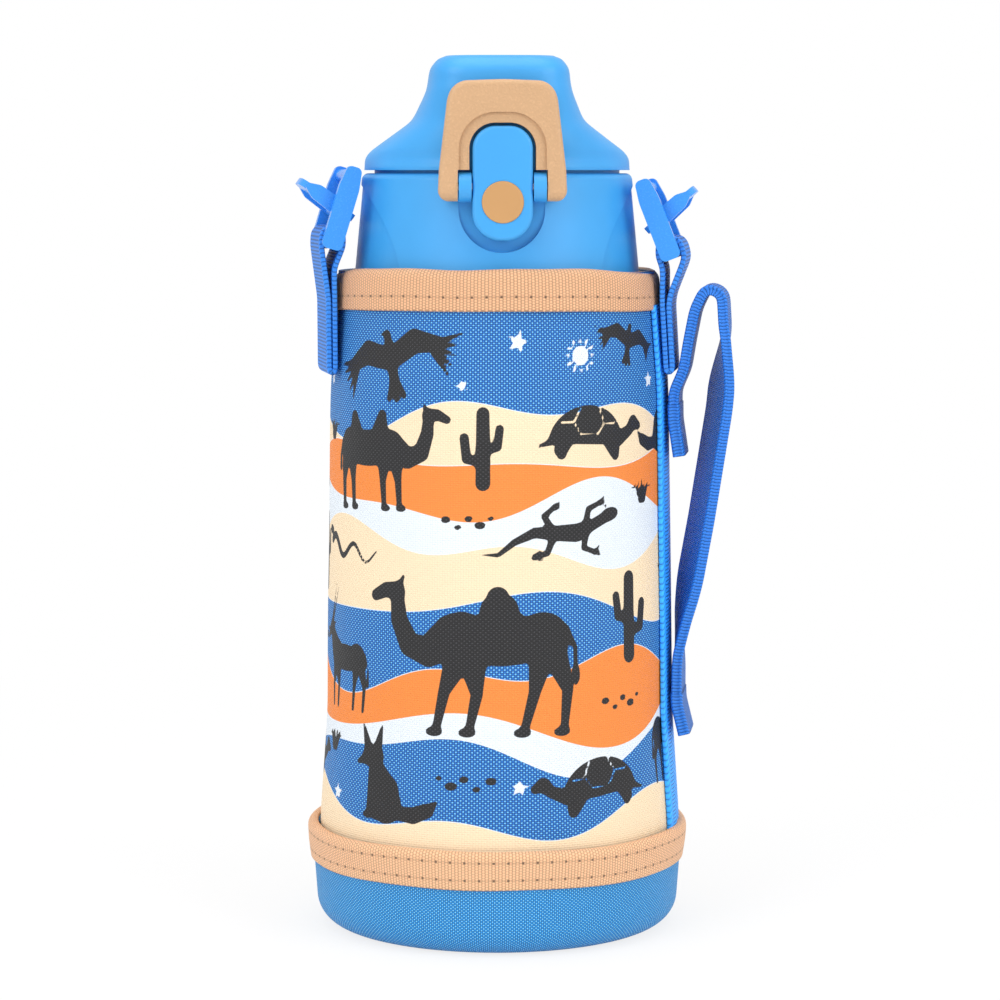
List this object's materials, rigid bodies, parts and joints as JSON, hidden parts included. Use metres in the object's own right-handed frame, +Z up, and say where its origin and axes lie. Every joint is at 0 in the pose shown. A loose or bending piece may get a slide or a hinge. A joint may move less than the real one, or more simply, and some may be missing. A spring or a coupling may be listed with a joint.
{
  "type": "insulated drinking bottle",
  "caption": "Insulated drinking bottle with a hinged lid, a latch and a locking ring, in a padded printed fabric pouch with side buckles and a hand strap.",
  "frame": {"origin": "centre of the pouch's flat bottom, on the surface it stands on", "axes": "+Z up along the bottle's axis, the latch faces -Y, the hand strap is on the +X side"},
  "size_m": [0.126, 0.111, 0.251],
  "materials": {
    "plastic_blue": "satin",
    "button_tan": "glossy",
    "ring_tan": "fine grain",
    "buckle_blue": "glossy",
    "print_fabric": "printed plain weave",
    "base_fabric": "fine weave over foam",
    "binding_tape": "ribbed tape, stitched",
    "webbing_blue": "woven webbing",
    "strap_blue": "tubular woven elastic",
    "lining_grey": "quilted lining",
    "pad_grey": "closed-cell foam",
    "steel": "brushed",
    "pin_steel": "polished",
    "silicone": "soft",
    "foot_blue": "soft"
  },
  "bodies": {
    "pouch": {"base_cup": "base_fabric", "base_pad": "pad_grey", "sleeve": "print_fabric", "sleeve_padding": "lining_grey", "top_binding": "binding_tape", "base_binding": "binding_tape", "side_webbing": "webbing_blue", "left_strap_loop": "webbing_blue", "right_strap_loop": "webbing_blue", "hand_strap": "strap_blue", "hand_strap_top_tab": "strap_blue", "hand_strap_bottom_tab": "strap_blue"},
    "mouth_seal": {"mouth_gasket": "silicone"},
    "vessel": {"bottle_foot": "foot_blue", "outer_vessel": "steel", "inner_vessel": "steel", "vessel_bottom": "steel"},
    "cap": {"collar": "plastic_blue", "drinking_spout": "plastic_blue", "collar_gasket": "silicone", "lid_hinge_pin": "pin_steel", "latch_pin": "pin_steel", "lid_spring": "pin_steel", "button_spring": "pin_steel"},
    "lid": {"lid": "plastic_blue", "lid_liner": "plastic_blue", "spout_seal": "silicone"},
    "ring": {"lock_ring": "ring_tan"},
    "lever": {"release_lever": "plastic_blue", "button_cap": "button_tan"},
    "left_buckle": {"left_buckle_frame": "buckle_blue"},
    "left_buckle_tongue": {"left_buckle_lever": "buckle_blue"},
    "right_buckle": {"right_buckle_frame": "buckle_blue"},
    "right_buckle_tongue": {"right_buckle_lever": "buckle_blue"}
  },
  "joints": [
    {"name": "bottle_lift", "type": "slide", "parent": "pouch", "child": "mouth_seal", "axis": [0, 0, 1], "range_m": [0, 0.19]},
    {"name": "vessel_turn", "type": "hinge", "parent": "mouth_seal", "child": "vessel", "pos_m": [0, 0, 0], "axis": [0, 0, -1], "range_deg": [0, 631]},
    {"name": "cap_rise", "type": "slide", "parent": "mouth_seal", "child": "cap", "axis": [0, 0, 1], "range_m": [0, 0.007]},
    {"name": "lid_open", "type": "hinge", "parent": "cap", "child": "lid", "pos_m": [0, 0.0416, 0.2154], "axis": [-1, 0, 0], "range_deg": [0, 110]},
    {"name": "ring_swing", "type": "hinge", "parent": "cap", "child": "ring", "pos_m": [0, -0.0416, 0.2146], "axis": [1, 0, 0], "range_deg": [0, 150]},
    {"name": "lever_press", "type": "hinge", "parent": "cap", "child": "lever", "pos_m": [0, -0.0416, 0.2146], "axis": [1, 0, 0], "range_deg": [0, 8], "stiffness_Nm_per_rad": 0.03},
    {"name": "left_buckle_swing", "type": "hinge", "parent": "pouch", "child": "left_buckle", "pos_m": [-0.04862, -0.00683, 0.2001], "axis": [0.1392, -0.9903, 0], "range_deg": [0, 90]},
    {"name": "left_tongue_fold", "type": "hinge", "parent": "left_buckle", "child": "left_buckle_tongue", "pos_m": [-0.04616, -0.00649, 0.20823], "axis": [0.1392, -0.9903, 0], "range_deg": [-20, 45]},
    {"name": "right_buckle_swing", "type": "hinge", "parent": "pouch", "child": "right_buckle", "pos_m": [0.04978, -0.00788, 0.197], "axis": [0.1564, 0.9877, 0], "range_deg": [0, 55]},
    {"name": "right_tongue_fold", "type": "hinge", "parent": "right_buckle", "child": "right_buckle_tongue", "pos_m": [0.0467, -0.0074, 0.20491], "axis": [0.1564, 0.9877, 0], "range_deg": [-20, 45]}
  ],
  "couplings": [
    {"joint": "vessel_turn", "follows": "cap_rise", "rad_per_m": 1570.8}
  ]
}
